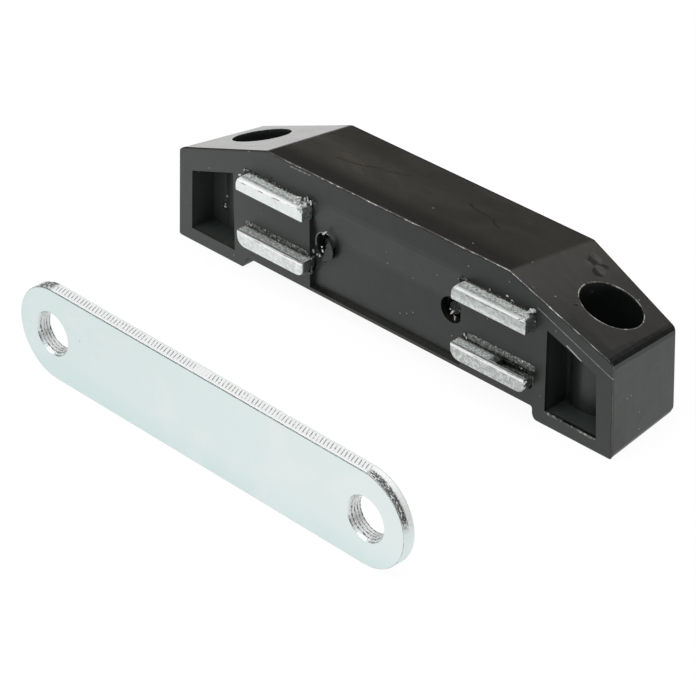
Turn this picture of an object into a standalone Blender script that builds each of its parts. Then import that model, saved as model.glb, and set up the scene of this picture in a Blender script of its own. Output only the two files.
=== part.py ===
# Double magnetic catch with its strike plate.
#
# A moulded housing with two screw-down end blocks carries two magnets. Each magnet is
# sandwiched between two steel pole plates, whose front edges stand proud of the front face.
# A back cover held by two screws closes the housing. The steel strike plate stands on its
# long edge in front of the catch.
#
# Axes: X runs along the housing, -Y is the way the poles face, Z is up. The housing is
# modelled with its front face at y = 0 and its feet at z = 0, on an empty that places it.

import math

import bmesh
import bpy
from mathutils import Vector

MM = 0.001

# Gap kept between pieces that touch.
CLEARANCE = 0.3 * MM

# Housing: outline.
LENGTH = 124.0 * MM
DEPTH = 25.4 * MM
HEIGHT = 31.3 * MM
RIDGE_LENGTH = 67.8 * MM
# How much lower the ends are than the ridge.
END_FALL = 9.5 * MM
# How far the roof falls from the front to the back.
ROOF_DROP = 3.5 * MM
# How far each end face leans in over its height, and comes in towards the back.
END_LEAN = 1.0 * MM
END_DRAFT = 2.5 * MM
# How much shallower the housing is at its ends than in the middle.
BACK_TAPER = 3.6 * MM
FOOT_LENGTH = 21.0 * MM
FOOT_HEIGHT = 3.1 * MM
FOOT_ROUND = 1.8 * MM
FOOT_FILLET = 0.6 * MM
EDGE_RADIUS = 0.4 * MM
RIDGE_RADIUS = 0.6 * MM
HEEL_RADIUS = 2.8 * MM
# Rounding of each end face's top and bottom edges.
END_RADIUS = 1.5 * MM

# End blocks: pocket in the front, counterbored screw hole through the slope.
POCKET_END_WALL = 4.2 * MM
POCKET_INNER_WALL = 3.2 * MM
POCKET_FLOOR = 3.3 * MM
POCKET_ROOF = 5.6 * MM
POCKET_DEPTH = 6.3 * MM
SCREW_INSET = 12.9 * MM
SCREW_SETBACK = 13.1 * MM
COUNTERBORE_DIAMETER = 12.8 * MM
COUNTERBORE_FLOOR = 9.0 * MM
SCREW_HOLE_DIAMETER = 5.4 * MM
BOSS_WALL = 1.5 * MM

# Poles and magnets.
PAIR_X = 30.9 * MM
# Plastic below and above the bay that holds a magnet and its two poles.
BAY_FLOOR = 6.5 * MM
BAY_ROOF = 6.9 * MM
# How much lower the lower right pole sits in its bay than the lower left one.
POLE_SLIP = 0.5 * MM
POLE_LENGTH = 19.8 * MM
POLE_THICKNESS = 3.6 * MM
POLE_PROUD = 2.6 * MM
# Roundings of its two outer corners: at its left end, and at its right end above and below.
POLE_CORNER_LEFT = 2.2 * MM
POLE_CORNER_UPPER_RIGHT = 0.9 * MM
POLE_CORNER_LOWER_RIGHT = 1.8 * MM
POLE_EDGE = 0.3 * MM
POLE_ROLLED_EDGE = 0.7 * MM
MAGNET_DEPTH = 16.2 * MM
MAGNET_CHAMFER = 0.4 * MM

# Gouge in the upper face of the lower right pole, behind a lip left at the front edge. It is
# deepest at its left end and rises to the right.
GOUGE_LENGTH = 7.7 * MM
GOUGE_DROP = 1.3 * MM
GOUGE_END_DROP = 0.5 * MM
GOUGE_STEP = 0.3 * MM
GOUGE_LIP = 0.6 * MM

# Front of the housing: wall over the bays, centre panel and its lip.
FRONT_WALL = 3.7 * MM
PANEL_HALF = 21.4 * MM
PANEL_DEPTH = 1.2 * MM
PANEL_WALL = 2.4 * MM
LIP_HEIGHT = 0.75 * MM
LIP_SLOPE = 0.4 * MM
# The panel fades into the front face over this height, up to so far below the ridge.
PANEL_FADE = 9.5 * MM
PANEL_TOP = 5.3 * MM
# Both ends of the fade are half as steep as the rest over this share of its height.
FADE_EASE = 0.12
FRONT_HOLE_X = 17.8 * MM
# How much lower the holes are than the magnets' middle.
FRONT_HOLE_DROP = 0.9 * MM
FRONT_HOLE_DIAMETER = 5.9 * MM
FRONT_HOLE_DEPTH = 2.0 * MM

# Centre core, cover and cover screws at the back.
CORE_HALF = 13.8 * MM
RIM_WALL = 1.6 * MM
LEDGE = 1.1 * MM
COVER_THICKNESS = 2.2 * MM
COVER_EDGE = 0.4 * MM
SHANK_DIAMETER = 3.8 * MM
HEAD_DIAMETER = 7.0 * MM
HEAD_HEIGHT = 1.9 * MM
CROSS_WIDTH = 0.9 * MM
CROSS_SPAN = 3.8 * MM
CROSS_DEPTH = 1.2 * MM
TIP_PROUD = 0.9 * MM
TIP_CHAMFER = 0.5 * MM

# Strike plate.
STRIKE_LENGTH = 109.0 * MM
STRIKE_WIDTH = 20.8 * MM
STRIKE_THICKNESS = 3.0 * MM
STRIKE_EDGE = 0.3 * MM
STRIKE_HOLE_SPACING = 89.2 * MM
STRIKE_HOLE_DIAMETER = 8.5 * MM
STRIKE_SINK_DIAMETER = 9.8 * MM
STRIKE_SINK_DEPTH = 0.9 * MM
# Where it stands: its middle to the right of the housing's, its front face in front of it.
STRIKE_OFFSET = 7.4 * MM
STRIKE_DISTANCE = 57.1 * MM
STRIKE_TURN = math.radians(-0.8)

# Values that follow from the sizes above.
HALF = LENGTH / 2
RIDGE_HALF = RIDGE_LENGTH / 2
END_HEIGHT = HEIGHT - END_FALL
SLOPE = END_FALL / (HALF - END_LEAN - RIDGE_HALF)
ROOF_FALL = ROOF_DROP / DEPTH
END_LEAN_RATE = END_LEAN / END_HEIGHT
END_DRAFT_RATE = END_DRAFT / (DEPTH - BACK_TAPER)
TAPER_RATE = BACK_TAPER / (HALF - END_LEAN - END_DRAFT - RIDGE_HALF)
FOOT_INNER = HALF - FOOT_LENGTH
POCKET_INNER = FOOT_INNER + POCKET_INNER_WALL
SCREW_X = HALF - SCREW_INSET
BAY_TOP = HEIGHT - BAY_ROOF
BAY_MIDDLE_Z = (BAY_FLOOR + BAY_TOP) / 2
BAY_HALF_Z = (BAY_TOP - BAY_FLOOR) / 2
POLE_HALF_Z = POLE_THICKNESS / 2
UPPER_POLE_Z = BAY_TOP - CLEARANCE - POLE_HALF_Z
LOWER_POLE_Z = BAY_FLOOR + POLE_SLIP + CLEARANCE + POLE_HALF_Z
MAGNET_TOP = UPPER_POLE_Z - POLE_HALF_Z - CLEARANCE
MAGNET_BOTTOM = LOWER_POLE_Z + POLE_HALF_Z + CLEARANCE
MAGNET_FRONT = FRONT_WALL + CLEARANCE
MAGNET_BACK = MAGNET_FRONT + MAGNET_DEPTH
LEDGE_Y = MAGNET_BACK + CLEARANCE
BAY_HALF_X = POLE_LENGTH / 2 + CLEARANCE
FRONT_HOLE_Z = (MAGNET_TOP + MAGNET_BOTTOM) / 2 - FRONT_HOLE_DROP
HOLE_FLOOR_Y = PANEL_DEPTH + FRONT_HOLE_DEPTH
PILOT_DIAMETER = SHANK_DIAMETER + 2 * CLEARANCE
COVER_BACK = LEDGE_Y + CLEARANCE + COVER_THICKNESS
STRIKE_REACH = STRIKE_DISTANCE + STRIKE_LENGTH / 2 * math.sin(abs(STRIKE_TURN))
# The housing's front face lies here, so that catch and strike together are centred on y = 0.
FRONT_Y = (STRIKE_REACH - DEPTH) / 2
# Cutters run this far past the faces they open.
PAST = 4.0 * MM

BLACK_PLASTIC = ("black_plastic", (0.055, 0.057, 0.054), 0.42, 0.0)
BLACK_COVER = ("black_cover_plastic", (0.048, 0.049, 0.047), 0.5, 0.0)
ZINC = ("zinc_plated_steel", (0.62, 0.65, 0.66), 0.35, 1.0)
BLACK_STEEL = ("blackened_steel", (0.1, 0.105, 0.11), 0.3, 1.0)
FERRITE = ("ferrite", (0.09, 0.09, 0.095), 0.7, 0.0)


def clear_scene():
    for obj in list(bpy.data.objects):
        bpy.data.objects.remove(obj, do_unlink=True)


def new_collection(name):
    collection = bpy.data.collections.new(name)
    bpy.context.scene.collection.children.link(collection)
    return collection


def make_material(name, color, roughness, metallic):
    material = bpy.data.materials.new(name)
    material.use_nodes = True
    shader = material.node_tree.nodes["Principled BSDF"]
    shader.inputs["Base Color"].default_value = (*color, 1.0)
    shader.inputs["Roughness"].default_value = roughness
    shader.inputs["Metallic"].default_value = metallic
    material.diffuse_color = (*color, 1.0)
    return material


def new_object(name, bm, collection, parent=None, material=None):
    """Turn a bmesh into an object, with its normals made consistent."""
    bmesh.ops.recalc_face_normals(bm, faces=bm.faces[:])
    mesh = bpy.data.meshes.new(name)
    bm.to_mesh(mesh)
    bm.free()
    obj = bpy.data.objects.new(name, mesh)
    collection.objects.link(obj)
    obj.parent = parent
    if material:
        mesh.materials.append(material)
    return obj


def new_cutter(name, bm, collection, parent):
    cutter = new_object(name, bm, collection, parent)
    cutter.hide_render = True
    cutter.display_type = 'WIRE'
    return cutter


def subtract(target, cutters):
    for cutter in cutters:
        cut = target.modifiers.new(cutter.name, 'BOOLEAN')
        cut.operation = 'DIFFERENCE'
        cut.solver = 'EXACT'
        cut.object = cutter


def smooth(obj, angle=35.0):
    obj.data.shade_smooth()
    obj.data.set_sharp_from_angle(angle=math.radians(angle))


def box(low, high):
    """A box between two corners."""
    bm = bmesh.new()
    bmesh.ops.create_cube(bm, size=1.0)
    low, high = Vector(low), Vector(high)
    size = high - low
    bmesh.ops.scale(bm, vec=size, verts=bm.verts[:])
    bmesh.ops.translate(bm, vec=(low + high) / 2, verts=bm.verts[:])
    return bm


def prism(outline, axis, start, end):
    """Extrude a closed outline of 2D points along an axis, from start to end.

    The points are (x, z) for axis Y, (y, z) for axis X and (x, y) for axis Z.
    """
    place = {
        'X': lambda u, v: (start, u, v),
        'Y': lambda u, v: (u, start, v),
        'Z': lambda u, v: (u, v, start),
    }[axis]
    travel = {'X': (end - start, 0, 0), 'Y': (0, end - start, 0), 'Z': (0, 0, end - start)}[axis]
    bm = bmesh.new()
    face = bm.faces.new([bm.verts.new(place(u, v)) for u, v in outline])
    grown = bmesh.ops.extrude_face_region(bm, geom=[face])
    moved = [item for item in grown["geom"] if isinstance(item, bmesh.types.BMVert)]
    bmesh.ops.translate(bm, vec=travel, verts=moved)
    return bm


def arc(center, radius, start, end, steps):
    """Points on an arc, in degrees, both ends included."""
    angles = [math.radians(start + (end - start) * i / steps) for i in range(steps + 1)]
    return [(center[0] + radius * math.cos(a), center[1] + radius * math.sin(a)) for a in angles]


def rounded_rectangle(half_u, half_v, radii, center=(0, 0), steps=5):
    """Outline of a rectangle. radii are those of its corners, anticlockwise from the lower left."""
    corners = [(-1, -1, 180), (1, -1, 270), (1, 1, 0), (-1, 1, 90)]
    outline = []
    for (side_u, side_v, start), radius in zip(corners, radii):
        u = center[0] + side_u * (half_u - radius)
        v = center[1] + side_v * (half_v - radius)
        outline += arc((u, v), radius, start, start + 90, steps)
    return outline


def rod(radius, start, end, axis, center, segments=40, end_radius=None):
    """A round bar, or a cone if end_radius differs, along Y or Z through a 2D centre."""
    bm = bmesh.new()
    length = end - start
    bmesh.ops.create_cone(
        bm, cap_ends=True, segments=segments, radius1=radius,
        radius2=radius if end_radius is None else end_radius, depth=length)
    if axis == 'Y':
        # The bar's own +Z turns to +Y.
        for vert in bm.verts:
            x, y, z = vert.co
            vert.co = (x + center[0], z + (start + end) / 2, center[1] - y)
    else:
        bmesh.ops.translate(bm, vec=(center[0], center[1], (start + end) / 2), verts=bm.verts[:])
    return bm


def cut_away(bm, point, normal):
    """Remove what lies on the normal's side of a plane, and close the cut."""
    everything = bm.verts[:] + bm.edges[:] + bm.faces[:]
    result = bmesh.ops.bisect_plane(
        bm, geom=everything, dist=1e-7, plane_co=point, plane_no=normal, clear_outer=True)
    edges = [item for item in result["geom_cut"] if isinstance(item, bmesh.types.BMEdge)]
    if edges:
        bmesh.ops.edgeloop_fill(bm, edges=edges)


def roof_height(x, y):
    """Height of the roof or of a slope over a point of the housing."""
    return HEIGHT - ROOF_FALL * y - SLOPE * max(0.0, abs(x) - RIDGE_HALF)


def housing_planes():
    """The faces of the housing's block, each a point and an outward normal."""
    planes = {
        "back": ((0, DEPTH, 0), (0, 1, 0)),
        "roof": ((0, 0, HEIGHT), (0, ROOF_FALL, 1)),
    }
    for name, side in (("left", -1), ("right", 1)):
        planes["slope_" + name] = ((side * RIDGE_HALF, 0, HEIGHT), (side * SLOPE, ROOF_FALL, 1))
        planes["end_" + name] = ((side * HALF, 0, 0), (side, END_DRAFT_RATE, END_LEAN_RATE))
        planes["taper_" + name] = ((side * RIDGE_HALF, DEPTH, 0), (side * TAPER_RATE, 1, 0))
    return planes


def edge_radius(edge, planes):
    """Rounding of one edge of the block, by the two faces it joins."""
    middle = (edge.verts[0].co + edge.verts[1].co) / 2
    near = 1e-5
    on = {name for name, (point, normal) in planes.items()
          if abs((middle - Vector(point)).dot(Vector(normal).normalized())) < near}
    behind = {name for name in on if name == "back" or name.startswith("taper")}
    if behind and middle.z < near:
        return HEEL_RADIUS
    if len(behind) == 2:
        return 0.0
    if behind or "roof" in on and middle.y > near:
        return RIDGE_RADIUS
    if any(name.startswith("end") for name in on) and (len(on) == 2 or middle.z < near):
        return END_RADIUS
    return EDGE_RADIUS


def housing_block():
    """The outer block: a box cut to the roof, slopes, drafted ends and tapered back."""
    bm = box((-HALF, 0, 0), (HALF, DEPTH + PAST, HEIGHT))
    planes = housing_planes()
    for point, normal in planes.values():
        cut_away(bm, point, normal)
    bmesh.ops.remove_doubles(bm, verts=bm.verts[:], dist=1e-6)
    weights = bm.edges.layers.float.new("bevel_weight_edge")
    widest = max(HEEL_RADIUS, END_RADIUS, RIDGE_RADIUS, EDGE_RADIUS)
    for edge in bm.edges:
        edge[weights] = edge_radius(edge, planes) / widest
    return bm, widest


def notch_outline():
    """Gap under the middle of the housing, with rounded feet and filleted inner corners."""
    flare = FOOT_INNER + FOOT_ROUND
    right = [(flare, -PAST)]
    right += arc((flare, FOOT_ROUND), FOOT_ROUND, 270, 180, 6)
    right += arc((FOOT_INNER - FOOT_FILLET, FOOT_HEIGHT - FOOT_FILLET), FOOT_FILLET, 0, 90, 3)
    left = [(-x, z) for x, z in reversed(right)]
    return right + left


def pocket_cutter(side):
    """Front pocket of one end block, with the screw boss bulging from its back wall."""
    radius = COUNTERBORE_DIAMETER / 2 + BOSS_WALL
    reach = SCREW_SETBACK - POCKET_DEPTH
    plan = [(POCKET_INNER, -PAST), (POCKET_INNER, POCKET_DEPTH)]
    if radius > reach:
        spread = math.degrees(math.acos(reach / radius))
        plan += arc((SCREW_X, SCREW_SETBACK), radius, 270 - spread, 270 + spread, 12)
    plan += [(HALF, POCKET_DEPTH), (HALF, -PAST)]
    bm = prism([(side * x, y) for x, y in plan], 'Z', POCKET_FLOOR, HEIGHT)
    ceiling = (side * RIDGE_HALF, 0, HEIGHT - POCKET_ROOF)
    cut_away(bm, ceiling, (side * SLOPE, 0, 1))
    end = (side * (HALF - POCKET_END_WALL), 0, 0)
    cut_away(bm, end, (side, 0, END_LEAN_RATE))
    return bm


def panel_outline():
    """Section of the centre recess: lip, flat panel and the fade into the front face above."""
    lip = FOOT_HEIGHT + LIP_HEIGHT
    top = HEIGHT - PANEL_TOP
    ease = PANEL_FADE * FADE_EASE
    step = PANEL_DEPTH * FADE_EASE / 2
    return [
        (-PAST, lip), (0, lip), (PANEL_DEPTH, lip + LIP_SLOPE), (PANEL_DEPTH, top - PANEL_FADE),
        (PANEL_DEPTH - step, top - PANEL_FADE + ease), (step, top - ease), (0, top), (-PAST, top),
    ]


def pole_outline(up, grow=0.0):
    """Section of a pole plate across the housing, about its middle and with its outer edge up."""
    small = POLE_EDGE + grow
    right = POLE_CORNER_UPPER_RIGHT if up > 0 else POLE_CORNER_LOWER_RIGHT
    radii = (small, small, right + grow, POLE_CORNER_LEFT + grow)
    return rounded_rectangle(POLE_LENGTH / 2 + grow, POLE_HALF_Z + grow, radii)


def bay_outline():
    """Section of a magnet bay, which holds two pole plates and the magnet between them."""
    left = POLE_CORNER_LEFT + CLEARANCE
    lower = POLE_CORNER_LOWER_RIGHT + CLEARANCE
    upper = POLE_CORNER_UPPER_RIGHT + CLEARANCE
    return rounded_rectangle(BAY_HALF_X, BAY_HALF_Z, (left, lower, upper, left))


def cover_outline(inset=0.0):
    """Back opening, or with an inset the cover in it: it follows the slopes at its upper corners."""
    side = PAIR_X + BAY_HALF_X + LEDGE - inset
    low = BAY_FLOOR - LEDGE + inset
    top = BAY_TOP + LEDGE / 2 - inset
    clip = inset * math.hypot(1, SLOPE)
    corner = min(top, roof_height(side, DEPTH) - RIM_WALL - clip)
    knee = side - (top - corner) / SLOPE
    return [(-side, low), (side, low), (side, corner), (knee, top), (-knee, top), (-side, corner)]


def pole_height(side, up):
    """Height of a pole plate's middle: the lower right one has slipped down in its bay."""
    if up > 0:
        return UPPER_POLE_Z
    return LOWER_POLE_Z - (POLE_SLIP if side > 0 else 0.0)


def shifted(outline, u, v, flip_v=False):
    sign = -1 if flip_v else 1
    return [(a + u, sign * b + v) for a, b in outline]


def housing_cutters(collection, parent):
    """Everything that is hollowed out of the block."""
    core_y = PANEL_DEPTH + PANEL_WALL
    features = {
        "notch": prism(notch_outline(), 'Y', -PAST, DEPTH + PAST),
        "panel": prism(panel_outline(), 'X', -PANEL_HALF, PANEL_HALF),
        "core": box((-CORE_HALF, core_y, BAY_FLOOR), (CORE_HALF, LEDGE_Y + PAST, BAY_TOP)),
        "cover_seat": prism(cover_outline(), 'Y', LEDGE_Y, DEPTH + PAST),
    }
    for name, side in (("left", -1), ("right", 1)):
        screw = (side * SCREW_X, SCREW_SETBACK)
        hole = (side * FRONT_HOLE_X, FRONT_HOLE_Z)
        pair_x = side * PAIR_X
        features["pocket_" + name] = pocket_cutter(side)
        features["counterbore_" + name] = rod(
            COUNTERBORE_DIAMETER / 2, COUNTERBORE_FLOOR, HEIGHT + PAST, 'Z', screw, 56)
        features["screw_hole_" + name] = rod(
            SCREW_HOLE_DIAMETER / 2, -PAST, COUNTERBORE_FLOOR + PAST, 'Z', screw)
        features["front_hole_" + name] = rod(
            FRONT_HOLE_DIAMETER / 2, -PAST, HOLE_FLOOR_Y, 'Y', hole)
        features["pilot_" + name] = rod(
            PILOT_DIAMETER / 2, HOLE_FLOOR_Y - CLEARANCE, DEPTH + PAST, 'Y', hole, 24)
        features["bay_" + name] = prism(
            shifted(bay_outline(), pair_x, BAY_MIDDLE_Z), 'Y', FRONT_WALL, LEDGE_Y + PAST)
        for level, up in (("upper", 1), ("lower", -1)):
            outline = pole_outline(up, CLEARANCE)
            slot = shifted(outline, pair_x, pole_height(side, up), up < 0)
            features[f"slot_{level}_{name}"] = prism(slot, 'Y', -PAST, FRONT_WALL + PAST)
    return [new_cutter("cut_" + name, bm, collection, parent) for name, bm in features.items()]


def build_housing(parts, cutters, frame):
    bm, widest = housing_block()
    housing = new_object("housing", bm, parts, frame, make_material(*BLACK_PLASTIC))
    rounding = housing.modifiers.new("rounding", 'BEVEL')
    rounding.limit_method = 'WEIGHT'
    rounding.width = widest
    rounding.segments = 3
    rounding.use_clamp_overlap = False
    subtract(housing, housing_cutters(cutters, frame))
    smooth(housing)
    return housing


def edges_at(bm, y):
    """Edges of the flat face that lies at y."""
    return [edge for edge in bm.edges if all(abs(vert.co.y - y) < 1e-7 for vert in edge.verts)]


def build_pole(name, side, up, parts, frame):
    """One pole plate. Its outer edge, away from the magnet, has the larger rounding."""
    front = -POLE_PROUD
    center_z = pole_height(side, up)
    outline = shifted(pole_outline(up), side * PAIR_X, center_z, up < 0)
    bm = prism(outline, 'Y', front, MAGNET_BACK)
    bmesh.ops.recalc_face_normals(bm, faces=bm.faces[:])
    weights = bm.edges.layers.float.new("bevel_weight_edge")
    for edge in edges_at(bm, front):
        height = sum(v.co.z for v in edge.verts) / 2 - center_z
        rolled = up > 0 and height > 0
        edge[weights] = 1.0 if rolled else POLE_EDGE / POLE_ROLLED_EDGE
    pole = new_object(name, bm, parts, frame, make_material(name + "_zinc", *ZINC[1:]))
    rounding = pole.modifiers.new("die_roll", 'BEVEL')
    rounding.limit_method = 'WEIGHT'
    rounding.width = POLE_ROLLED_EDGE
    rounding.segments = 2
    smooth(pole)
    return pole


def gouge_cutter():
    """What is missing from the upper face of the lower right pole, between its lip and the housing."""
    top = pole_height(1, -1) + POLE_HALF_Z
    right = PAIR_X + POLE_LENGTH / 2
    left = right - GOUGE_LENGTH
    rise = (GOUGE_DROP - GOUGE_END_DROP) / GOUGE_LENGTH
    outline = [
        (left - GOUGE_STEP, top + PAST), (left - GOUGE_STEP, top), (left, top - GOUGE_DROP),
        (right + PAST, top - GOUGE_END_DROP + rise * PAST), (right + PAST, top + PAST),
    ]
    return prism(outline, 'Y', GOUGE_LIP - POLE_PROUD, CLEARANCE)


def build_poles(parts, cutters, frame):
    poles = {}
    for name, side in (("left", -1), ("right", 1)):
        for level, up in (("upper", 1), ("lower", -1)):
            title = f"pole_plate_{level}_{name}"
            poles[title] = build_pole(title, side, up, parts, frame)
    gouge = new_cutter("cut_gouge", gouge_cutter(), cutters, frame)
    subtract(poles["pole_plate_lower_right"], [gouge])


def build_magnets(parts, frame):
    for name, side in (("left", -1), ("right", 1)):
        half_x = POLE_LENGTH / 2
        low = (side * PAIR_X - half_x, MAGNET_FRONT, MAGNET_BOTTOM)
        high = (side * PAIR_X + half_x, MAGNET_BACK, MAGNET_TOP)
        bm = box(low, high)
        bmesh.ops.bevel(
            bm, geom=bm.edges[:], offset=MAGNET_CHAMFER, segments=1, profile=0.5,
            affect='EDGES', material=-1)
        new_object("magnet_" + name, bm, parts, frame, make_material("magnet_" + name, *FERRITE[1:]))


def build_cover(parts, cutters, frame):
    """Flat cover that sits on the ledge inside the back opening."""
    front = LEDGE_Y + CLEARANCE
    bm = prism(cover_outline(CLEARANCE), 'Y', front, COVER_BACK)
    bmesh.ops.bevel(
        bm, geom=edges_at(bm, COVER_BACK), offset=COVER_EDGE, segments=2, profile=0.5,
        affect='EDGES', material=-1)
    cover = new_object("back_cover", bm, parts, frame, make_material(*BLACK_COVER))
    holes = []
    for name, side in (("left", -1), ("right", 1)):
        hole = rod(PILOT_DIAMETER / 2, front - PAST, COVER_BACK + PAST, 'Y',
                   (side * FRONT_HOLE_X, FRONT_HOLE_Z), 24)
        holes.append(new_cutter("cut_cover_hole_" + name, hole, cutters, frame))
    subtract(cover, holes)
    smooth(cover)


def screw_profile():
    """Radius and distance from the tip, up the shank and over the head to its middle."""
    seat = COVER_BACK + CLEARANCE - (HOLE_FLOOR_Y - TIP_PROUD)
    shank = SHANK_DIAMETER / 2
    head = HEAD_DIAMETER / 2
    dome = HEAD_HEIGHT / 2
    crown = []
    for step in range(5):
        angle = math.radians(90 * step / 5)
        crown.append((head * math.cos(angle), seat + dome + dome * math.sin(angle)))
    stem = [(0, 0), (shank - TIP_CHAMFER, 0), (shank, TIP_CHAMFER), (shank, seat), (head, seat)]
    return stem + crown + [(0, seat + HEAD_HEIGHT)]


def build_screw(name, side, parts, cutters, frame):
    """Pan-head screw from the back, its tip showing in the front hole."""
    bm = bmesh.new()
    points = [bm.verts.new((radius, 0, along)) for radius, along in screw_profile()]
    edges = [bm.edges.new(pair) for pair in zip(points, points[1:])]
    bmesh.ops.spin(
        bm, geom=points + edges, cent=(0, 0, 0), axis=(0, 0, 1), angle=2 * math.pi,
        steps=24, use_merge=True)
    bmesh.ops.remove_doubles(bm, verts=bm.verts[:], dist=1e-6)
    screw = new_object(name, bm, parts, frame, make_material(name + "_steel", *BLACK_STEEL[1:]))
    # The screw's own +Z, from tip to head, points to the housing's back.
    screw.rotation_euler = (math.radians(-90), 0, 0)
    screw.location = (side * FRONT_HOLE_X, HOLE_FLOOR_Y - TIP_PROUD, FRONT_HOLE_Z)
    top = COVER_BACK + CLEARANCE + HEAD_HEIGHT
    blades = []
    for tag, (wide, tall) in (("a", (CROSS_SPAN, CROSS_WIDTH)), ("b", (CROSS_WIDTH, CROSS_SPAN))):
        low = (side * FRONT_HOLE_X - wide / 2, top - CROSS_DEPTH, FRONT_HOLE_Z - tall / 2)
        high = (side * FRONT_HOLE_X + wide / 2, top + PAST, FRONT_HOLE_Z + tall / 2)
        blades.append(new_cutter(f"cut_{name}_{tag}", box(low, high), cutters, frame))
    subtract(screw, blades)
    smooth(screw)


def stadium(length, width, steps):
    """Outline of a bar with full-round ends, about its middle."""
    radius = width / 2
    reach = length / 2 - radius
    return arc((reach, 0), radius, -90, 90, steps) + arc((-reach, 0), radius, 90, 270, steps)


def build_strike(parts, cutters):
    """Strike plate on its long edge. Its local y = 0 is the face with the countersinks."""
    stand = bpy.data.objects.new("strike_stand", None)
    parts.objects.link(stand)
    stand.location = (STRIKE_OFFSET, FRONT_Y - STRIKE_DISTANCE, STRIKE_WIDTH / 2)
    stand.rotation_euler = (0, 0, STRIKE_TURN)
    bm = prism(stadium(STRIKE_LENGTH, STRIKE_WIDTH, 28), 'Y', 0, STRIKE_THICKNESS)
    bmesh.ops.recalc_face_normals(bm, faces=bm.faces[:])
    bmesh.ops.bevel(
        bm, geom=edges_at(bm, 0) + edges_at(bm, STRIKE_THICKNESS), offset=STRIKE_EDGE,
        segments=2, profile=0.5, affect='EDGES', material=-1)
    strike = new_object("strike_plate", bm, parts, stand, make_material("strike_zinc", *ZINC[1:]))
    holes = []
    for name, side in (("left", -1), ("right", 1)):
        center = (side * STRIKE_HOLE_SPACING / 2, 0)
        bore = STRIKE_HOLE_DIAMETER / 2
        sink = STRIKE_SINK_DIAMETER / 2
        # The cone runs on in front of the face at the same angle.
        flare = (sink - bore) / STRIKE_SINK_DEPTH
        through = rod(bore, -PAST, STRIKE_THICKNESS + PAST, 'Y', center)
        cone = rod(sink + flare * PAST, -PAST, STRIKE_SINK_DEPTH, 'Y', center, end_radius=bore)
        holes.append(new_cutter("cut_strike_hole_" + name, through, cutters, stand))
        holes.append(new_cutter("cut_strike_sink_" + name, cone, cutters, stand))
    subtract(strike, holes)
    smooth(strike)


def main():
    clear_scene()
    parts = new_collection("magnetic_catch")
    cutters = new_collection("cutters")
    frame = bpy.data.objects.new("catch_frame", None)
    frame.location = (0, FRONT_Y, 0)
    parts.objects.link(frame)
    build_housing(parts, cutters, frame)
    build_poles(parts, cutters, frame)
    build_magnets(parts, frame)
    build_cover(parts, cutters, frame)
    for name, side in (("left", -1), ("right", 1)):
        build_screw("cover_screw_" + name, side, parts, cutters, frame)
    build_strike(parts, cutters)
    bpy.context.view_layer.update()


main()
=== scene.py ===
"""Dresses a double magnetic catch and its strike plate, and sets the stage for them."""

import math

import bmesh
import bpy
from bpy.props import FloatProperty, FloatVectorProperty, PointerProperty
from mathutils import Euler, Matrix, Vector, noise


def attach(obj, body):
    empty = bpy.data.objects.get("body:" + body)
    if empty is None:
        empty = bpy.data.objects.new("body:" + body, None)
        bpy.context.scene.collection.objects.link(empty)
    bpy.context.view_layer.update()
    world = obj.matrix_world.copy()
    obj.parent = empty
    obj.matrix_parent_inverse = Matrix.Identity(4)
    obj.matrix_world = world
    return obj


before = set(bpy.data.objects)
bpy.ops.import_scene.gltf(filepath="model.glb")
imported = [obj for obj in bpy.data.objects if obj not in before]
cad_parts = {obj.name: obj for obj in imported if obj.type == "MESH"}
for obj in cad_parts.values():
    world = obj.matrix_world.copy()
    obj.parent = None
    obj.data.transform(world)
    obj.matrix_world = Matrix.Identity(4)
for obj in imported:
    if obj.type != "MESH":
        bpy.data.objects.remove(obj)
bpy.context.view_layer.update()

bl_info = {
    "name": "Magnetic Catch",
    "version": (1, 0, 0),
    "blender": (4, 5, 0),
    "location": "3D View > Sidebar > Catch",
    "description": "Finishes, small details and stage of a double magnetic catch",
    "category": "Object",
}

MM = 0.001

# The solids' own sizes, in the frame's metres.
FRONT_Y = 16.2305 * MM
DEPTH = 25.4 * MM
HEIGHT = 31.3 * MM
HALF_LENGTH = 62.0 * MM
RIDGE_HALF = 33.9 * MM
SLOPE = 9.5 / 27.1
ROOF_FALL = 3.5 / 25.4
END_DRAFT = 0.046
POLE_X = 30.9 * MM
POLE_LENGTH = 19.8 * MM
POLE_THICKNESS = 3.6 * MM
UPPER_Z = 22.3 * MM
LOWER_LEFT_Z = 9.1 * MM
LOWER_RIGHT_Z = 8.6 * MM
SCREW_X = 49.1 * MM
SCREW_Y = FRONT_Y + 13.1 * MM
BORE_RADIUS = 6.4 * MM
FRONT_HOLE_X = 17.8 * MM
FRONT_HOLE_Z = 14.8 * MM
FRONT_HOLE_RADIUS = 2.95 * MM
STRIKE_CENTRE = Vector((7.4 * MM, -40.87 * MM, 10.4 * MM))
STRIKE_TURN = math.radians(-0.8)
STRIKE_OFFSET = Matrix.Rotation(-STRIKE_TURN, 3, "Z") @ -STRIKE_CENTRE
STRIKE_RADIUS = 10.4 * MM
STRIKE_STRAIGHT = 54.5 * MM - STRIKE_RADIUS
STRIKE_HOLE_X = 44.6 * MM
STRIKE_HOLE_RADIUS = 4.25 * MM

# Scratches on the right block's front face, a painted highlight under the roof's front edge, and a painted
# highlight on the
# lip under the right pocket: both ends, x and z.
LONG_SCRATCH = ((41.64 * MM, 26.06 * MM), (61.18 * MM, 18.43 * MM))
SHORT_SCRATCH = ((49.36 * MM, 20.83 * MM), (53.03 * MM, 19.06 * MM))
CREST_SLIVER = ((-26.9 * MM, 30.45 * MM), (-20.9 * MM, 30.6 * MM))
POCKET_LIP = ((44.43 * MM, 3.22 * MM), (57.46 * MM, 2.91 * MM))
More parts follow.
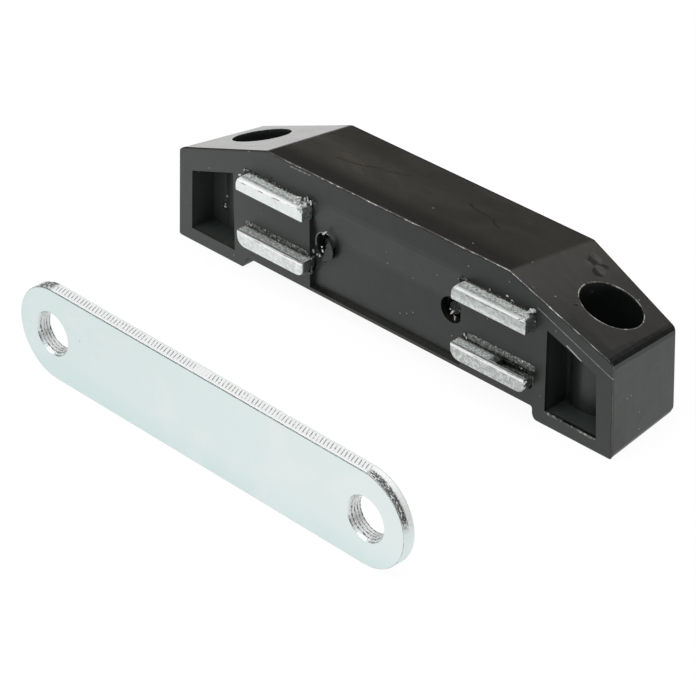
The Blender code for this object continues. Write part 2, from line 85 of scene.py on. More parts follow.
# Dents on the right slope: x, y, size and depth.
DENTS = ((38.2 * MM, 36.7 * MM, 1.6 * MM, 2.0), (38.6 * MM, 34.9 * MM, 1.2 * MM, -1.6),
         (40.6 * MM, 36.5 * MM, 1.3 * MM, -1.6), (41.3 * MM, 34.4 * MM, 1.5 * MM, 2.0),
         (39.2 * MM, 16.9 * MM, 0.9 * MM, 1.5), (46.0 * MM, 22.3 * MM, 0.6 * MM, 3.0))
# Creases on the roof: both ends, x and y.
CREASES = (((-23.9 * MM, 25.9 * MM), (-16.2 * MM, 28.6 * MM)),
           ((-16.2 * MM, 28.6 * MM), (-8.4 * MM, 32.4 * MM)),
           ((7.9 * MM, 33.0 * MM), (19.6 * MM, 29.2 * MM)))
# Cuts along the strike plate's edge: their lean, and their spacing in millimetres.
TICK_LEAN = 0.42
TICK_PITCH = 0.92
# Spacing of the torn rings in the strike plate's holes.
TEAR_PITCH = 0.7 * MM
# Smears above the lower pole plates: from x to x, from height to height.
SMEARS = {
    "lower_left": (-41.0 * MM, -21.5 * MM, 10.95 * MM, 12.3 * MM),
    "lower_right": (22.8 * MM, 41.8 * MM, 10.9 * MM, 12.7 * MM),
}
SMEAR_TONES = {
    "lower_left": ((0.03, 0.032, 0.03), (0.3, 0.31, 0.29)),
    "lower_right": ((0.085, 0.09, 0.085), (0.42, 0.44, 0.42)),
}
SMEAR_RISE = 0.42 * MM
SMEAR_SINK = 0.04 * MM
SMEAR_THICKNESS = 0.12 * MM
# Flash round the pole plates: its corners, its lap over a plate, how deep it starts in the front face,
# and how finely it is cut. Its outer edge is frayed from a little way out, as the smears' edges are.
FLASH_CORNER = 0.9 * MM
FLASH_LAP = 0.1 * MM
FLASH_SINK = 0.1 * MM
FLASH_RINGS = 3
LONG_CUTS = 90
END_CUTS = 8
FRAY = 0.28 * MM
FRAY_START = 0.15 * MM
# Crumbs above each pole plate: their number, and the run in millimetres over which they lie.
CRUMB_COUNT = 26
CRUMB_RUN = 19.2
# Film over the left front hole: how far past the hole's edge it reaches, where its free edge stands.
FILM_MARGIN = 0.25 * MM
FILM_EDGE = 1.0 * MM
FILM_LEAN = 0.33
FILM_THICKNESS = 0.15 * MM
# Drops in the left pocket: x, height and diameter in millimetres, and the depth of the wall they hang on.
POCKET_WALL = 6.1 * MM
BLISTERS = ((-53.4, 8.0, 1.5), (-52.8, 10.7, 0.9))
# Torn zinc: x, y, height and size in millimetres.
ZINC_CHIPS = {
    "upper_left": ((-23.9, 15.6, 24.3, 1.0), (-23.2, 15.1, 24.3, 0.6), (-22.4, 16.0, 24.5, 0.7),
                   (-21.8, 16.2, 24.9, 0.6), (-21.3, 15.8, 24.6, 0.6), (-20.9, 16.1, 24.3, 0.8),
                   (-22.6, 14.5, 24.1, 1.1), (-21.7, 14.1, 23.7, 1.3), (-22.2, 13.8, 23.3, 0.8),
                   (-21.3, 13.85, 22.9, 0.7), (-21.1, 14.9, 24.0, 0.8), (-40.4, 16.0, 24.4, 0.6),
                   (-40.2, 14.4, 23.9, 0.7), (-23.4, 14.2, 23.95, 0.8)),
    "upper_right": ((40.2, 16.0, 24.9, 1.0), (39.7, 15.8, 24.5, 0.7), (40.7, 16.0, 25.1, 0.7),
                    (41.1, 16.1, 25.2, 0.6), (39.2, 15.4, 24.2, 0.5), (38.6, 15.6, 24.3, 0.45),
                    (40.0, 13.9, 23.8, 0.8), (38.9, 14.0, 23.9, 0.6), (29.2, 16.1, 24.9, 0.35),
                    (33.8, 16.1, 25.5, 0.5), (35.1, 16.1, 25.0, 0.45)),
    "lower_right": ((40.5, 13.95, 9.4, 1.0), (40.5, 13.95, 8.2, 0.85), (39.8, 13.8, 7.4, 0.5),
                    (38.9, 14.2, 10.0, 0.5), (22.7, 16.1, 11.7, 0.6), (23.3, 16.0, 11.3, 0.4),
                    (38.3, 16.1, 12.4, 0.45), (37.4, 16.1, 12.2, 0.35)),
}
BLACK_CRUMBS = ((-21.2, 15.8, 24.1, 0.75), (-22.9, 15.8, 24.4, 0.5), (-22.0, 14.7, 24.2, 0.5),
                (-21.5, 13.75, 23.5, 0.45), (-41.1, 13.8, 21.9, 0.4), (-20.2, 16.2, 24.8, 0.8),
                (-19.4, 16.2, 24.85, 0.6), (40.3, 15.5, 24.3, 0.6), (38.9, 13.75, 23.4, 0.4),
                (39.4, 13.7, 23.6, 0.35), (-33.9, 16.2, 25.4, 0.35), (-32.7, 16.2, 25.4, 0.4),
                (-26.2, 16.2, 25.7, 0.4), (41.2, 16.1, 12.0, 0.5))
# Bright zinc chips at the front holes, painted glints on the screw threads: x, y, height and size in
# millimetres.
GLINTS = {
    "left": ((-17.2, 16.2, 18.5, 0.55), (-16.5, 16.15, 19.1, 0.5), (-16.8, 16.15, 18.8, 0.35),
             (-20.2, 16.2, 13.1, 0.6), (-17.9, 16.6, 13.9, 0.55), (-18.4, 16.2, 12.8, 0.5),
             (-18.3, 16.8, 14.6, 0.4), (-19.2, 16.25, 12.7, 0.35)),
    "right": ((18.8, 16.8, 15.1, 0.5), (18.4, 16.9, 14.5, 0.45), (19.6, 16.6, 13.9, 0.6),
              (18.9, 17.1, 14.0, 0.35), (18.0, 16.9, 15.3, 0.35)),
}
# Thread round the cover screws' tips.
THREAD_START = 2.35 * MM
THREAD_PITCH = 0.55 * MM
THREAD_TURNS = 1.4
THREAD_ROOT = 1.82 * MM
THREAD_CREST = 2.45 * MM
THREAD_FOOT = 0.44 * MM
STEPS_PER_TURN = 24

# The camera, as it stands to the catch in the photograph.
CAMERA_AZIMUTH = math.radians(45.048)
CAMERA_ELEVATION = math.radians(32.113)
CAMERA_ROLL = math.radians(-0.083)
CAMERA_DISTANCE = 654.58 * MM
CAMERA_RIGHT = -7.399 * MM
CAMERA_UP = 0.273 * MM
LENS = 165.204
SHIFT_X = 0.001346
SHIFT_Y = -0.011473

# Strength of the studio's light near the horizon, where dark edges come from, and the heights of a
# direction between which it grows to its full strength.
HORIZON_LIGHT = 0.05
SKY_LOW = 0.38
SKY_HIGH = 0.74
# Lamps: place, length of a side, and tint. They all face the origin.
LAMPS = {
    "key_lamp": ((-0.5, -0.9, 1.1), 0.9, (0.97, 1.0, 1.0)),
    "fill_lamp": ((1.0, 0.1, 0.8), 0.7, (1.0, 0.98, 0.95)),
    "top_lamp": ((0, -0.05, 1.2), 0.6, (1, 1, 1)),
}
FLOOR_HALF = 3.0
# How much of the floor's white shows to a camera or a mirror, and the strength of that white.
WHITE_SHARE = 0.9
WHITE_STRENGTH = 1.04


class CatchSizes(bpy.types.PropertyGroup):
    """Sizes of the small details."""
    flash_width: FloatProperty(
        name="Flash width", description="Width of the moulding flash round each pole plate",
        default=0.4 * MM, unit="LENGTH")
    flash_height: FloatProperty(
        name="Flash height", description="How far the flash stands out of the front face",
        default=0.3 * MM, unit="LENGTH")


class CatchFinish(bpy.types.PropertyGroup):
    """Colours of the catch and the strike plate."""
    # The upright faces' green tint and the upward faces' brown tint are painted reflection tints of one
    # black plastic.
    plastic: FloatVectorProperty(
        name="Plastic", description="Colour of the upright faces of the moulded housing",
        default=(0.020, 0.024, 0.023), subtype="COLOR", size=3)
    plastic_top: FloatVectorProperty(
        name="Plastic top", description="Colour of the housing's upward faces",
        default=(0.026, 0.024, 0.020), subtype="COLOR", size=3)
    zinc: FloatVectorProperty(
        name="Pole steel", description="Colour of the pole plates' zinc",
        default=(0.80, 0.84, 0.83), subtype="COLOR", size=3)
    bright_zinc: FloatVectorProperty(
        name="Strike steel", description="Colour of the strike plate's bright zinc",
        default=(0.68, 0.79, 0.775), subtype="COLOR", size=3)


class CatchStage(bpy.types.PropertyGroup):
    """Strength of the studio light."""
    room: FloatProperty(name="Room light", description="Strength of the even light from above", default=0.85)
    key: FloatProperty(name="Key lamp", description="Power of the large lamp over the front", default=4.0,
                       unit="POWER")
    fill: FloatProperty(name="Fill lamp", description="Power of the lamp at the right", default=1.0,
                        unit="POWER")
    top: FloatProperty(name="Top lamp", description="Power of the lamp straight above", default=3.5,
                       unit="POWER")


class Value:
    """A shader socket that can be used in Python sums."""

    def __init__(self, net, socket):
        self.net = net
        self.socket = socket

    def __add__(self, other):
        return self.net.math("ADD", self, other)

    def __sub__(self, other):
        return self.net.math("SUBTRACT", self, other)

    def __rsub__(self, other):
        return self.net.math("SUBTRACT", other, self)

    def __mul__(self, other):
        return self.net.math("MULTIPLY", self, other)

    def __truediv__(self, other):
        return self.net.math("DIVIDE", self, other)

    def __rtruediv__(self, other):
        return self.net.math("DIVIDE", other, self)

    def __gt__(self, other):
        return self.net.math("GREATER_THAN", self, other)

    def __lt__(self, other):
        return self.net.math("LESS_THAN", self, other)

    def __abs__(self):
        return self.net.math("ABSOLUTE", self)

    __radd__ = __add__
    __rmul__ = __mul__


class Net:
    """Adds nodes to one material's or world's tree."""

    def __init__(self, tree):
        self.tree = tree
        tree.nodes.clear()

    def add(self, kind, settings=None, inputs=None):
        """Adds a node, sets it up, and gives its sockets values or links."""
        node = self.tree.nodes.new(kind)
        for name, value in (settings or {}).items():
            setattr(node, name, value)
        for name, value in (inputs or {}).items():
            if isinstance(value, Value):
                self.tree.links.new(value.socket, node.inputs[name])
            else:
                node.inputs[name].default_value = value
        return node

    def get(self, kind, settings=None, inputs=None, output=0):
        """Adds a node and returns one of its outputs."""
        return Value(self, self.add(kind, settings, inputs).outputs[output])

    def math(self, operation, *values):
        """Adds one Math node."""
        return self.get("ShaderNodeMath", {"operation": operation}, dict(enumerate(values)))

    def least(self, *values):
        """Returns the smallest of the values."""
        result = values[0]
        for value in values[1:]:
            result = self.math("MINIMUM", result, value)
        return result

    def most(self, *values):
        """Returns the largest of the values."""
        result = values[0]
        for value in values[1:]:
            result = self.math("MAXIMUM", result, value)
        return result

    def length(self, across, up):
        """Returns how far a point is from another, from two offsets at a right angle."""
        return self.math("SQRT", across * across + up * up)

    def step(self, value, low, high):
        """Rises smoothly from 0 at low to 1 at high."""
        falling = low > high
        first, last = (high, low) if falling else (low, high)
        rise = self.get("ShaderNodeMapRange", {"interpolation_type": "SMOOTHSTEP"},
                        {"Value": value, "From Min": first, "From Max": last})
        return 1 - rise if falling else rise

    def mix(self, factor, first, second):
        """Mixes two colours."""
        inputs = {"Factor": factor, 6: colour(first), 7: colour(second)}
        return self.get("ShaderNodeMix", {"data_type": "RGBA"}, inputs, 2)

    def place(self):
        """Returns the object's own coordinates."""
        return self.get("ShaderNodeTexCoord", output="Object")

    def turned(self, vector, location=(0, 0, 0), rotation=(0, 0, 0), scale=(1, 1, 1)):
        """Moves, turns and stretches a pattern's coordinates."""
        return self.get("ShaderNodeMapping", {"vector_type": "POINT"},
                        {"Vector": vector, "Location": location, "Rotation": rotation, "Scale": scale})

    def parts(self, vector):
        """Splits a vector in three values."""
        node = self.add("ShaderNodeSeparateXYZ", inputs={"Vector": vector})
        return [Value(self, socket) for socket in node.outputs]

    def grain(self, vector, scale, detail=2.0, roughness=0.5, distortion=0.0):
        """Returns soft noise between 0 and 1."""
        return self.get("ShaderNodeTexNoise", {"noise_dimensions": "3D"},
                        {"Vector": vector, "Scale": scale, "Detail": detail, "Roughness": roughness,
                         "Distortion": distortion})

    def specks(self, vector, scale, size, share):
        """Returns scattered spots: size is a part of a cell, share is how many of the cells have one."""
        cells = self.add("ShaderNodeTexVoronoi", {"feature": "F1"}, {"Vector": vector, "Scale": scale})
        red = self.parts(Value(self, cells.outputs["Color"]))[0]
        near = self.step(Value(self, cells.outputs["Distance"]), size, size * 0.5)
        return near * (red < share)

    def dim(self, tint, factor):
        """Makes a colour lighter or darker by a value that changes over the surface."""
        tint = tint if isinstance(tint, Value) else tuple(tint[:3])
        return self.get("ShaderNodeVectorMath", {"operation": "SCALE"}, {0: tint, "Scale": factor})

    def hollow(self, vector, centre, size):
        """Returns a soft uneven spot, 1 at its centre and 0 at a distance of its size, seen from above."""
        x, y = self.parts(vector)[:2]
        sway = (self.grain(vector, 450, 2) - 0.5) * size
        return self.step(self.length(x - centre[0] + sway, y - centre[1] - sway), size, 0.0)

    def bump(self, height, distance):
        """Turns a height between 0 and 1 into a surface normal."""
        return self.get("ShaderNodeBump", inputs={"Height": height, "Distance": distance})

    def raised(self, normal, amount):
        """Leans a normal upwards, as on an edge that isn't rounded."""
        upward = self.get("ShaderNodeVectorMath", {"operation": "SCALE"}, {0: (0, 0, 1), "Scale": amount})
        leaning = self.get("ShaderNodeVectorMath", {"operation": "ADD"}, {0: normal, 1: upward})
        return self.get("ShaderNodeVectorMath", {"operation": "NORMALIZE"}, {0: leaning})

    def finish(self, **inputs):
        """Ends the tree in a surface shader."""
        settings = {name.replace("_", " ").title(): value for name, value in inputs.items()}
        if "Ior" in settings:
            settings["IOR"] = settings.pop("Ior")
        shader = self.get("ShaderNodeBsdfPrincipled", inputs=settings, output="BSDF")
        self.add("ShaderNodeOutputMaterial", inputs={"Surface": shader})


def colour(value):
    """Gives a plain colour its fourth number."""
    return value if isinstance(value, Value) else (*value[:3], 1.0)


def scaled(value, factor):
    """Makes a plain colour lighter or darker."""
    return tuple(channel * factor for channel in value[:3])


def new_material(name):
    """Returns a material and the net that fills it."""
    material = bpy.data.materials.new(name)
    material.use_nodes = True
    return material, Net(material.node_tree)


def dress(node, material):
    """Gives a CAD node's object a finished material."""
    for item in node_objects(node):
        for slot in item.material_slots:
            slot.link = "OBJECT"
            slot.material = material


def node_objects(node):
    """Returns the mesh objects of a CAD node."""
    found = [item for item in bpy.data.objects if item.type == "MESH" and item.name.split(".")[0] == node]
    if not found:
        raise RuntimeError("no object for the node " + node)
    return found


def new_piece(name, bm, material, smooth=True):
    """Makes an object of a finished bmesh, riding on the only body."""
    bmesh.ops.recalc_face_normals(bm, faces=bm.faces)
    mesh = bpy.data.meshes.new(name)
    bm.to_mesh(mesh)
    bm.free()
    for face in mesh.polygons:
        face.use_smooth = smooth
    piece = bpy.data.objects.new(name, mesh)
    bpy.context.scene.collection.objects.link(piece)
    mesh.materials.append(material)
    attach(piece, "root")


# Materials

class HousingSpot:
    """Where a point of the housing lies, measured from the moulding's own faces."""

    def __init__(self, net, place):
        self.place = place
        self.x, self.y, self.z = net.parts(place)
        self.side = abs(self.x)
        fall = (self.y - FRONT_Y) * ROOF_FALL
        roof = HEIGHT - fall - net.most(self.side - RIDGE_HALF, 0.0) * SLOPE
        self.below = abs(roof - self.z)
        self.behind = abs(self.y - FRONT_Y)
        self.end = abs(HALF_LENGTH - self.side - self.z * END_DRAFT)
        self.bore = net.length(self.side - SCREW_X, self.y - SCREW_Y) - BORE_RADIUS
        self.rim = abs(self.bore)


def edge_line(net, first, second, width):
    """Marks the middle of a rounded edge, from the distances to the two faces it joins."""
    return net.step(net.most(first, second), width, width * 0.6)


def segment(net, u, v, start, end):
    """Returns the distance from a point of a flat face to a straight scratch."""
    length = math.dist(start, end)
    step_u, step_v = (end[0] - start[0]) / length, (end[1] - start[1]) / length
    from_u, from_v = u - start[0], v - start[1]
    along = net.least(net.most(from_u * step_u + from_v * step_v, 0.0), length)
    return net.length(from_u - along * step_u, from_v - along * step_v)


def wall_painted_light_and_shade(net, spot, base):
    """Lightens the housing's upright faces towards the left and darkens the foot of its right end: painted
    light and painted shade.
    """
    # Painted shade at the foot of the right end, and painted light that grows towards the left.
    painted_foot_shade = net.step(spot.end, 0.7 * MM, 0.4 * MM) * net.step(spot.z, 15 * MM, 2 * MM) * (spot.x > 0.0)
    tone = 1.9 - net.step(spot.x, -58 * MM, 8 * MM) * 1.5 + net.step(spot.x, 38 * MM, 50 * MM) * 0.4
    return net.dim(base, tone * (1 - painted_foot_shade * 0.7))


def roof_painted_light_and_marks(net, spot, finish, upward, base):
    """Paints light and shade on the roof: darkens it along its front and the right slope towards its low
    end, and clouds the middle; adds flow marks and creases.
    """
    slope = net.step(spot.side, RIDGE_HALF - 0.3 * MM, RIDGE_HALF + 0.5 * MM)
    drift = net.turned(spot.place, rotation=(0, 0, 0.35), scale=(0.4, 1.0, 1.0))
    drift = net.grain(drift, 75, 3, 0.5, 1.2)
    cloudy = net.step(drift, 0.32, 0.68)
    left = net.step(spot.x, 12 * MM, -22 * MM)
    inward = net.step(spot.behind, 3.0 * MM, 8.5 * MM)
    far = net.step(spot.behind, 13 * MM, 21 * MM)
    # Painted light inward and to the left, painted shade along the front, near the ends and towards the
    # right slope's low end, clouded by flow marks.
    roof = 0.72 + inward * (0.66 + left * 0.7 * (1 - far)) * (cloudy * 0.6 + 0.7)
    fall = net.step(spot.x, 34 * MM, 50 * MM)
    strip = net.step(spot.behind, 4.0 * MM, 2.0 * MM) * net.step(spot.x, 46 * MM, 50 * MM)
    decline = (1.45 - fall * 0.85) * (cloudy * 0.3 + 0.85) * (1 - strip * 0.7)
    tone = roof + (decline - roof) * slope
    tone = tone * (1 - net.step(spot.end, 3.4 * MM, 2.6 * MM) * 0.75)
    # The upward faces' browner colour is a painted reflection tint.
    top = net.dim(finish.plastic_top, tone)
    marks = net.step(abs(drift - 0.5), 0.02, 0.0) * inward * (1 - slope) * 0.15
    wander = (drift - 0.5) * 5 * MM
    for start, end in CREASES:
        crease = segment(net, spot.x, spot.y + wander, start, end)
        marks = net.most(marks, net.step(crease, 0.3 * MM, 0.0) * 0.8)
    top = net.mix(marks, top, (0.004, 0.004, 0.003))
    return net.mix(upward, base, top)


def pocket_painted_light(net, spot, finish, upward, base):
    """Paints light on the walls and the boss inside each end pocket, most in the left one."""
    inside = net.step(spot.side, 43.6 * MM, 44.2 * MM) * net.step(spot.behind, 0.5 * MM, 1.0 * MM)
    inside = inside * net.step(spot.behind, 8.5 * MM, 7.5 * MM) * net.step(spot.below, 1.5 * MM, 2.3 * MM)
    inside = inside * net.step(spot.end, 0.8 * MM, 1.4 * MM) * net.step(spot.rim, 0.2 * MM, 0.6 * MM)
    # Painted light: the pockets' walls, floors and boss are made paler than the plastic.
    painted_lit_walls = net.mix(net.most(upward, spot.x < 0.0), scaled(finish.plastic, 1.2), scaled(finish.plastic, 2.3))
    return net.mix(inside, base, painted_lit_walls)


def painted_edge_highlights_and_wear(net, spot, broken, grit, base):
    """Adds thin pale lines along the moulding's edges: painted highlights, partly rubbed wear."""
    from_left = net.step(spot.x, -34.5 * MM, -33.5 * MM) * 0.4 + net.step(spot.x, -29 * MM, -24 * MM) * 0.6
    crest_highlight = edge_line(net, spot.below * (1.7 - broken), spot.behind, 0.21 * MM) * from_left
    crest_highlight = crest_highlight * (broken * 0.85 + 0.15) * (grit * 0.8 + 0.2)
    base = net.mix(crest_highlight, base, (0.85, 0.85, 0.76))
    corner_highlight = edge_line(net, spot.end, spot.behind, 0.3 * MM) * (broken * 0.6 + 0.4)
    base = net.mix(corner_highlight * 0.6, base, (0.15, 0.155, 0.13))
    # Painted highlight round the slope bores' rims.
    bore = edge_line(net, spot.rim, spot.below, 0.24 * MM) * (grit * 0.7 + 0.3) * broken
    return net.mix(bore * 0.9, base, (0.6, 0.6, 0.55))


def scratches_and_painted_highlights(net, spot, broken, grit, base):
    """Scores the front face, and paints highlights under the roof's front edge and along the lip under the
    right pocket.
    """
    front = net.step(spot.behind, 0.4 * MM, 0.2 * MM)
    long_mark = net.step(segment(net, spot.x, spot.z, *LONG_SCRATCH), 0.16 * MM, 0.05 * MM)
    long_mark = long_mark * (grit * 0.5 + 0.5)
    short_mark = net.step(segment(net, spot.x, spot.z, *SHORT_SCRATCH), 0.2 * MM, 0.08 * MM)
    base = net.mix(net.most(long_mark * 0.6, short_mark) * front, base, (0.55, 0.56, 0.52))
    # Painted highlights: a sliver under the roof's front edge and a line along the right pocket's lip.
    sliver_highlight = net.step(segment(net, spot.x, spot.z, *CREST_SLIVER), 0.17 * MM, 0.06 * MM) * grit * front
    base = net.mix(sliver_highlight * 0.8, base, (0.6, 0.6, 0.55))
    lip_highlight = net.step(segment(net, spot.x, spot.z, *POCKET_LIP), 0.32 * MM, 0.12 * MM) * grit * broken * front
    return net.mix(lip_highlight, base, (0.55, 0.55, 0.5))


def hole_painted_light_and_shade(net, spot, base):
    """Paints a highlight on part of the left front hole's rim, painted shade in the bores, and painted light
    on the front holes' floors.
    """
    up = spot.z - FRONT_HOLE_Z
    ring = net.length(spot.side - FRONT_HOLE_X, up) - FRONT_HOLE_RADIUS
    shallow = net.step(spot.behind, 1.6 * MM, 1.35 * MM)
    top_left = net.step(up - (spot.x + FRONT_HOLE_X), 1.4 * MM, 2.4 * MM)
    # Painted highlight on the rim; below, painted shade in the bores and painted light on the holes' floors.
    rim_highlight = net.step(abs(ring), 0.22 * MM, 0.1 * MM) * shallow * top_left
    base = net.mix(rim_highlight * (spot.x < 0.0) * 0.85, base, (0.45, 0.46, 0.43))
    bore_shade = net.step(spot.bore, 0.1 * MM, -0.1 * MM) * net.step(spot.below, 0.5 * MM, 1.2 * MM)
    base = net.mix(bore_shade, base, (0.003, 0.003, 0.003))
    floor = net.step(ring, 0.0, -0.2 * MM) * net.step(spot.behind, 2.8 * MM, 3.0 * MM)
    floor = floor * net.step(spot.behind, 4.0 * MM, 3.6 * MM)
    return net.mix(floor, base, (0.075, 0.07, 0.065))


def plastic_grain(net, place):
    """Returns the flow marks, the fine grain and the shallow waves of moulded plastic."""
    swirl = net.grain(net.turned(place, scale=(0.45, 1.0, 1.0)), 160, 2.5, 0.5, 1.6)
    fine = net.grain(place, 1600, 3, 0.6)
    waves = net.grain(place, 150, 2, 0.5)
    return swirl, fine, waves


def plastic_base(net, place, finish):
    """Returns the faintly clouded colour of the moulded plastic."""
    cloud = net.grain(place, 45, 2, 0.5)
    return net.mix(cloud, scaled(finish.plastic, 0.85), scaled(finish.plastic, 1.2))


def dusty(net, place, base):
    """Adds pale dust and small dark pits, and returns the dust as well."""
    dust = net.specks(place, 560, 0.13, 0.09)
    base = net.mix(dust * 0.8, base, (0.3, 0.3, 0.28))
    pits = net.specks(place, 480, 0.16, 0.07)
    return net.mix(pits * 0.7, base, (0.004, 0.004, 0.004)), dust


def housing_material(finish):
    """Black moulded plastic with flow marks, dust, dents, scratches and worn edges, and painted light, shade
    and highlights.
    """
    material, net = new_material("moulded_black_plastic")
    place = net.place()
    spot = HousingSpot(net, place)
    normal = net.get("ShaderNodeNewGeometry", output="Normal")
    upward = net.step(net.parts(normal)[2], 0.3, 0.8)
    swirl, fine, waves = plastic_grain(net, place)
    base = wall_painted_light_and_shade(net, spot, plastic_base(net, place, finish))
    base = roof_painted_light_and_marks(net, spot, finish, upward, base)
    base = pocket_painted_light(net, spot, finish, upward, base)
    base, dust = dusty(net, place, base)
    broken = net.step(net.grain(net.turned(place, scale=(0.5, 1.0, 0.7)), 420, 3, 0.6), 0.3, 0.62)
    grit = net.step(net.grain(place, 1250, 2, 0.7), 0.4, 0.62)
    base = painted_edge_highlights_and_wear(net, spot, broken, grit, base)
    base = scratches_and_painted_highlights(net, spot, broken, grit, base)
    base = hole_painted_light_and_shade(net, spot, base)
    height = waves * 0.6 + dust * 0.2 + swirl * 0.2 + fine * 0.12 * (1 - upward)
    for centre_x, centre_y, size, depth in DENTS:
        height = height - net.hollow(place, (centre_x, centre_y), size) * depth * upward
    # Painted shade along the roof's back edge, which also leans its normal upwards.
    back_edge_shade = net.step(spot.behind, DEPTH - 1.4 * MM, DEPTH - 0.6 * MM)
    back_edge_shade = back_edge_shade * net.step(spot.below, 1.4 * MM, 0.7 * MM)
    base = net.mix(back_edge_shade * 0.85, base, (0.005, 0.005, 0.004))
    rough = 0.3 + swirl * 0.1 + fine * 0.08 * (1 - upward) - upward * 0.12
    gloss = upward * net.step(spot.x, 0.3 * MM - RIDGE_HALF, -0.7 * MM - RIDGE_HALF)
    net.finish(base_color=base, roughness=rough, ior=1.5, coat_weight=gloss * 0.6, coat_roughness=0.12,
               normal=net.raised(net.bump(height, 0.16 * MM), back_edge_shade * 4.0))
    return material


def cover_material(finish):
    """The back cover's plainer black plastic."""
    material, net = new_material("black_cover_plastic")
    place = net.place()
    swirl, fine, waves = plastic_grain(net, place)
    base, dust = dusty(net, place, plastic_base(net, place, finish))
    net.finish(base_color=base, roughness=0.3 + swirl * 0.1 + fine * 0.08, ior=1.5,
               normal=net.bump(waves * 0.6 + dust * 0.2, 0.16 * MM))
    return material


class PoleSpot:
    """Where a point of a pole plate lies on its plate, which way its face looks, and its grain."""

    def __init__(self, net, place):
        self.place = place
        x, self.y, z = net.parts(place)
        self.upper = z > 15.5 * MM
        self.right = x > 0.0
        self.lower_right = self.right * (1 - self.upper)
        middle = self.upper * (UPPER_Z - LOWER_LEFT_Z) + LOWER_LEFT_Z
        middle = middle - self.lower_right * (LOWER_LEFT_Z - LOWER_RIGHT_Z)
        self.level = (z - middle) / (POLE_THICKNESS / 2)
        self.along = x - (self.right * 2 - 1) * POLE_X
        faces = net.parts(net.get("ShaderNodeNewGeometry", output="Normal"))
        self.upward = net.step(faces[2], 0.85, 0.97)
        self.tilted = net.step(faces[2], 0.08, 0.3)
        self.endward = net.step(abs(faces[0]), 0.45, 0.85)
        self.front = (1 - self.upward) * (1 - self.endward)
        self.fine = net.grain(place, 1500, 3, 0.65)
        self.streak = net.grain(net.turned(place, scale=(0.15, 1.0, 1.0)), 2200, 3, 0.65)
        self.patch = net.grain(net.turned(place, scale=(0.4, 1.0, 1.0)), 620, 3, 0.6, 0.6)
        self.coarse = net.grain(net.turned(place, scale=(0.7, 1.0, 1.0)), 2400, 3, 0.75)


def pole_front_tone(net, spot, finish):
    """Returns the grainy zinc of the plates' cut front edges, its bright ridge and its dotted line."""
    upper, right, lower_right = spot.upper, spot.right, spot.lower_right
    groove = net.turned(spot.place, rotation=(0, 0.25, 0), scale=(1.3, 1.0, 0.22))
    groove = net.grain(groove, 2000, 2, 0.6)
    low = net.step(spot.level, -0.3, -0.7)
    tone = 1.1 - right * 0.28 - (1 - upper) * 0.06 + lower_right * 0.08 + low * right * upper * 0.2
    spotted = net.step(spot.fine, 0.42, 0.58) * (0.08 + right * 0.34 + (1 - upper) * 0.22)
    grooved = net.step(groove, 0.45, 0.6) * lower_right * net.step(spot.along, -1 * MM, 3 * MM) * 0.55
    base = net.mix(net.most(spotted, grooved), finish.zinc, scaled(finish.zinc, 0.45))
    base = net.mix(net.step(spot.patch, 0.5, 0.75) * 0.3, base, scaled(finish.zinc, 0.7))
    base = net.dim(base, tone)
    ridge = net.step(spot.level + 0.14 + upper * (0.22 - right * 0.2), 0.66, 0.78)
    ridge = ridge * spot.front * (net.step(spot.streak, 0.3, 0.55) * 0.4 + 0.6)
    base = net.mix(ridge, base, (0.995, 1.0, 0.998))
    line = spot.level - 0.76 + upper * 0.36 - spot.along * (0.012 / MM)
    line = net.step(abs(line), 0.08, 0.02) * net.step(spot.streak, 0.5, 0.58) * spot.front
    return net.mix(line * (0.85 - lower_right * 0.3), base, (0.06, 0.06, 0.055)), ridge, line


def pole_side_tone(net, spot, base):
    """Mottles the plates' upper faces, and darkens their ends, their roots and the gouge with painted shade.
    """
    upper, right, lower_right = spot.upper, spot.right, spot.lower_right
    mottle = net.mix(net.step(spot.coarse, 0.36, 0.62), (0.2, 0.215, 0.205), (0.66, 0.7, 0.68))
    mottle = net.dim(mottle, 1.2 - (1 - upper) * 0.15 + lower_right * 0.35)
    border = net.step(spot.level, 0.9, 0.99) * net.step(spot.y - upper * 0.4 * MM, 14.3 * MM, 13.95 * MM)
    base = net.mix(spot.upward, base, mottle)
    base = net.mix(border * (0.75 - upper * 0.4) * (1 - spot.endward), base, (0.05, 0.055, 0.05))
    # Darker ends: painted shade.
    painted_end_shade = net.mix(net.step(spot.coarse, 0.4, 0.6), (0.26, 0.3, 0.285), (0.5, 0.55, 0.53))
    painted_end_shade = net.dim(painted_end_shade, 1 + upper * (1 - right) * 0.7)
    base = net.mix(spot.endward, base, painted_end_shade)
    # Painted shade at the plates' roots, and in the gouge of the lower right plate.
    shade = net.step(spot.y, 15.6 * MM, 16.25 * MM) * (1 - upper * 0.8)
    torn = lower_right * net.step(spot.level, 0.0, 0.3) * net.step(spot.along, -0.8 * MM, 0.8 * MM)
    torn = torn * net.step(spot.y, 14.1 * MM, 14.5 * MM) * (1 - spot.endward * 0.5)
    torn = torn * net.step(spot.coarse, 0.72, 0.56) * 0.96
    return net.mix(net.most(shade * 0.5, torn), base, (0.04, 0.04, 0.035))


def pole_material(finish):
    """Zinc on the pole plates: grainy cut edges in front, mottled and rough on top."""
    material, net = new_material("pole_zinc")
    spot = PoleSpot(net, net.place())
    base, ridge, line = pole_front_tone(net, spot, finish)
    base = pole_side_tone(net, spot, base)
    rough = 0.3 + spot.patch * 0.14 + spot.fine * 0.12 + spot.upward * 0.2 - ridge * 0.12
    metal = 1 - spot.tilted * (1 - spot.endward) * 0.88
    height = spot.patch * 0.35 + spot.streak * 0.2 + spot.fine * 0.3
    height = height + spot.coarse * (spot.upward * 0.8 + 0.1) - line * 0.4
    net.finish(base_color=base, metallic=metal, roughness=rough, normal=net.bump(height, 0.12 * MM))
    return material


